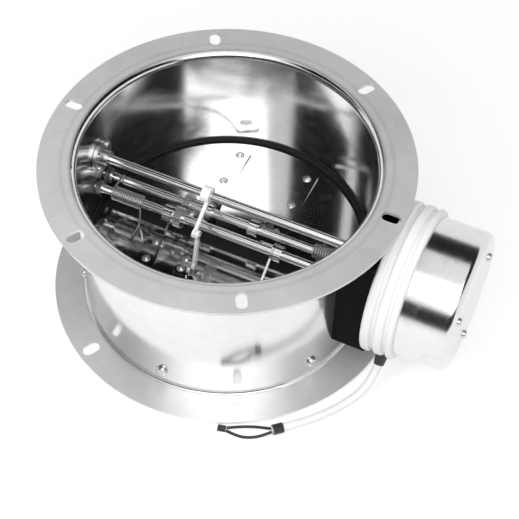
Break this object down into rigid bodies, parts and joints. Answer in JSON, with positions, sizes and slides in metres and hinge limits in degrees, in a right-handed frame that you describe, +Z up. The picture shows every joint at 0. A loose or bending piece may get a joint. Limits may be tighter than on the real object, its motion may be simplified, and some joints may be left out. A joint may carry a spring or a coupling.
{
  "type": "motorized duct damper",
  "caption": "Round flanged duct damper with twin half-round blades on hinge axles, opened by a crank from a side-mounted geared actuator with a supply cable.",
  "frame": {"origin": "middle of the lower flange's face, on the duct axis", "axes": "+Z up the duct, +X along the drive shaft towards the actuator, -Y the near side"},
  "size_m": [0.3818, 0.314, 0.1602],
  "materials": {
    "casing_steel": "galvanised",
    "seat_steel": "galvanised",
    "seal_rubber": "matt",
    "blade_steel": "bright rolled",
    "rod_steel": "bright drawn",
    "spring_steel": "drawn wire",
    "fastener_zinc": "zinc plated",
    "bearing_steel": "machined",
    "gear_steel": "machined",
    "white_paint": "gloss",
    "black_paint": "satin",
    "white_plastic": "moulded",
    "can_steel": "satin drawn",
    "motor_iron": "laminated",
    "black_plastic": "moulded",
    "cable_sheath": "satin",
    "wire_sheath": "satin"
  },
  "bodies": {
    "casing_body": {"casing": "casing_steel", "seat_ring": "seat_steel", "seat_bar": "seat_steel", "seat_seal": "seal_rubber", "bar_seal": "seal_rubber", "near_axle": "rod_steel", "far_axle": "rod_steel", "axle_collars": "rod_steel", "near_spring": "spring_steel", "far_spring": "spring_steel", "seat_bolts": "fastener_zinc", "seat_nuts": "fastener_zinc", "axle_inner_nuts": "fastener_zinc", "axle_outer_nuts": "fastener_zinc", "bearing_bolts": "fastener_zinc", "bearing_nuts": "fastener_zinc", "bracket_screws": "fastener_zinc", "can_bolts": "fastener_zinc", "left_bearing": "bearing_steel", "right_bearing": "bearing_steel", "actuator_bracket": "black_paint", "gearbox_plate": "white_plastic", "gearbox_housing": "white_plastic", "gearbox_lid": "white_plastic", "motor_can": "can_steel", "motor_body": "motor_iron", "limit_switches": "black_plastic", "terminal_block": "black_plastic", "cable_gland": "black_plastic", "cable": "cable_sheath", "upper_wire": "wire_sheath", "lower_wire": "wire_sheath", "cable_sleeve": "wire_sheath", "core_sleeve": "wire_sheath"},
    "near_blade_body": {"near_blade": "blade_steel", "near_left_bracket": "blade_steel", "near_right_bracket": "blade_steel", "near_rivets": "fastener_zinc", "near_gear": "gear_steel", "lift_lug": "blade_steel", "lug_rivets": "fastener_zinc"},
    "far_blade_body": {"far_blade": "blade_steel", "far_left_bracket": "blade_steel", "far_right_bracket": "blade_steel", "far_rivets": "fastener_zinc", "far_gear": "gear_steel"},
    "drive_body": {"drive_shaft": "rod_steel", "crank_lever": "white_paint", "crank_pin": "rod_steel", "output_gear": "gear_steel", "limit_cam": "black_plastic"},
    "link_body": {"lift_link": "white_paint"},
    "pinion_body": {"motor_pinion": "rod_steel"}
  },
  "joints": [
    {"name": "near_blade_swing", "type": "hinge", "parent": "casing_body", "child": "near_blade_body", "pos_m": [0, -0.0085, 0.073], "axis": [-1, 0, 0], "range_deg": [0, 85], "stiffness_Nm_per_rad": 0.05, "springref_deg": -17.19, "deforming": ["near_spring"]},
    {"name": "far_blade_swing", "type": "hinge", "parent": "casing_body", "child": "far_blade_body", "pos_m": [0, 0.0085, 0.073], "axis": [1, 0, 0], "range_deg": [0, 85], "stiffness_Nm_per_rad": 0.05, "springref_deg": -17.19, "deforming": ["far_spring"]},
    {"name": "drive_shaft_turn", "type": "hinge", "parent": "casing_body", "child": "drive_body", "pos_m": [0, 0, 0.106], "axis": [-1, 0, 0], "range_deg": [0, 85]},
    {"name": "lift_link_pivot", "type": "hinge", "parent": "drive_body", "child": "link_body", "pos_m": [-0.0132, -0.0305, 0.088], "axis": [1, 0, 0], "range_deg": [0, 85]},
    {"name": "motor_pinion_turn", "type": "hinge", "parent": "casing_body", "child": "pinion_body", "pos_m": [0.165, 0, 0.089], "axis": [1, 0, 0], "range_deg": [0, 121.5]}
  ],
  "couplings": [
    {"joint": "far_blade_swing", "follows": "near_blade_swing", "ratio": 1},
    {"joint": "drive_shaft_turn", "follows": "near_blade_swing", "ratio": 1},
    {"joint": "lift_link_pivot", "follows": "near_blade_swing", "ratio": 1},
    {"joint": "motor_pinion_turn", "follows": "near_blade_swing", "ratio": 1.4286}
  ]
}
